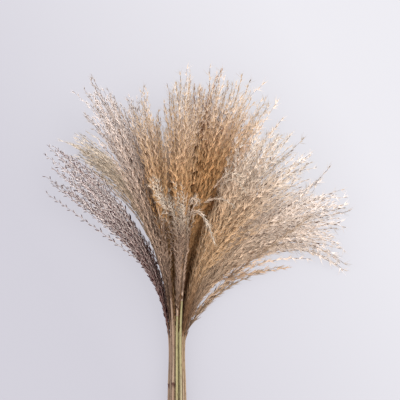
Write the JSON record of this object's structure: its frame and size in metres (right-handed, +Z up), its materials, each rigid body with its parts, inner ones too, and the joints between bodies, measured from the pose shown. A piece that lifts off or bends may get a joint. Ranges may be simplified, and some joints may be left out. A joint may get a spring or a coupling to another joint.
{
  "type": "bunch of reeds",
  "caption": "Bunch of dried reeds lying on a surface: straight stems held close together, and feathery seed plumes that fan out beyond them in tan, gold, taupe and pale silver.",
  "frame": {"origin": "on the surface that the bunch lies on, under the middle of its bounding box", "axes": "+Y from the cut stem ends to the plume tips, +Z up from the surface, +X across the fan"},
  "size_m": [0.3301, 0.4588, 0.1059],
  "materials": {
    "taupe_plume": "dry, silky side branches with fine hairs, dull",
    "olive_plume": "dry, silky side branches with fine hairs, dull",
    "rosy_plume": "dry, silky side branches with fine hairs, dull",
    "brown_plume": "dry, silky side branches with fine hairs, dull",
    "gold_plume": "dry, silky side branches with fine hairs, dull",
    "blond_plume": "dry, silky side branches with fine hairs, dull",
    "cream_plume": "dry, silky side branches with fine hairs, dull",
    "silver_plume": "dry, silky side branches with fine hairs, dull",
    "straw_stem": "dry, finely ribbed straw with a faint shine",
    "green_stem": "dry, finely ribbed straw with a faint shine",
    "brown_stem": "dry, finely ribbed straw with a faint shine"
  },
  "bodies": {
    "root": {"plume_01": "olive_plume", "plume_02": "gold_plume", "plume_03": "gold_plume", "plume_04": "cream_plume", "plume_05": "taupe_plume", "plume_06": "rosy_plume", "plume_07": "brown_plume", "plume_08": "gold_plume", "plume_09": "cream_plume", "plume_10": "rosy_plume", "plume_11": "gold_plume", "plume_12": "gold_plume", "plume_13": "blond_plume", "plume_14": "silver_plume", "plume_15": "silver_plume", "plume_16": "silver_plume", "stem_01": "brown_stem", "stem_02": "straw_stem", "stem_03": "green_stem", "stem_04": "straw_stem", "stem_05": "brown_stem", "stem_06": "straw_stem", "stem_07": "brown_stem", "stem_08": "green_stem", "stem_09": "straw_stem", "stem_10": "brown_stem", "stem_11": "straw_stem", "stem_12": "green_stem", "stem_13": "straw_stem", "stem_14": "brown_stem", "stem_15": "green_stem", "stem_16": "green_stem"}
  },
  "joints": []
}
